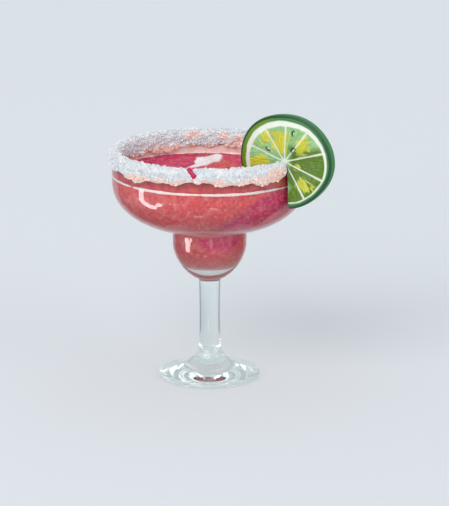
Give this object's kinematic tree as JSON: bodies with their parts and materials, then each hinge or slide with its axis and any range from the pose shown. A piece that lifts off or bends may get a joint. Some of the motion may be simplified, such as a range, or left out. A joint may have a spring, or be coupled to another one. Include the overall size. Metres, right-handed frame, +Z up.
{
  "type": "frozen margarita",
  "caption": "Frozen margarita in a two-step stemmed glass, with a coarse salt crust round the lip and a slit lime wheel standing on it.",
  "frame": {"origin": "centre of the underside of the glass's foot", "axes": "+Z up along the stem, +X to the viewer's right, -Y towards the viewer; the lime wheel stands on the lip at the front right"},
  "size_m": [0.1365, 0.1236, 0.1724],
  "materials": {
    "glass": "clear, polished",
    "slush": "wet, icy",
    "salt": "coarse crystals",
    "lime": "juicy cut fruit"
  },
  "bodies": {
    "root": {"glass": "glass", "drink": "slush", "salt_crust": "salt", "lime_wheel": "lime"}
  },
  "joints": []
}
